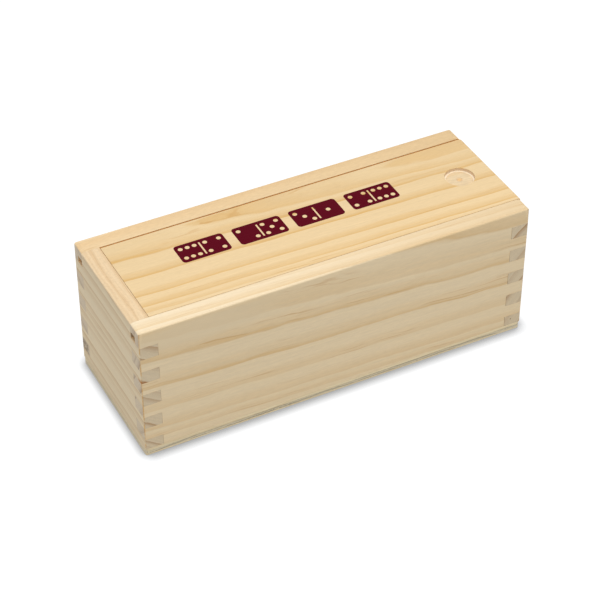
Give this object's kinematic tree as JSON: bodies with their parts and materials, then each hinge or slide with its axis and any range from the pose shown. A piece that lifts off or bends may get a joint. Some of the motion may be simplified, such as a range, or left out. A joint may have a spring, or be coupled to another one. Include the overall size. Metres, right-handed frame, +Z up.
{
  "type": "domino storage box",
  "caption": "Long wooden box with finger-jointed corners, a thin plywood base and a grooved sliding lid with a round thumb recess, for a set of domino tiles.",
  "frame": {"origin": "centre of the base's underside, which the box rests on", "axes": "+X along the box's length, towards the end where the lid slides out; +Y to the back; +Z up"},
  "size_m": [0.1955, 0.072, 0.071],
  "materials": {
    "pine_side": "sanded, unfinished",
    "pine_end": "sanded, unfinished",
    "pine_lid": "sanded, unfinished",
    "face_veneer": "sanded, unfinished",
    "core_veneer": "sawn edge, unfinished",
    "print_ink": "screen-printed ink"
  },
  "bodies": {
    "box": {"front_board": "pine_side", "back_board": "pine_side", "closed_end_panel": "pine_end", "open_end_panel": "pine_end", "base_top_ply": "face_veneer", "base_core_ply": "core_veneer", "base_bottom_ply": "face_veneer"},
    "lid": {"sliding_lid": "pine_lid"}
  },
  "joints": [
    {"name": "lid_slide", "type": "slide", "parent": "box", "child": "lid", "axis": [1, 0, 0], "range_m": [0, 0.19]}
  ]
}
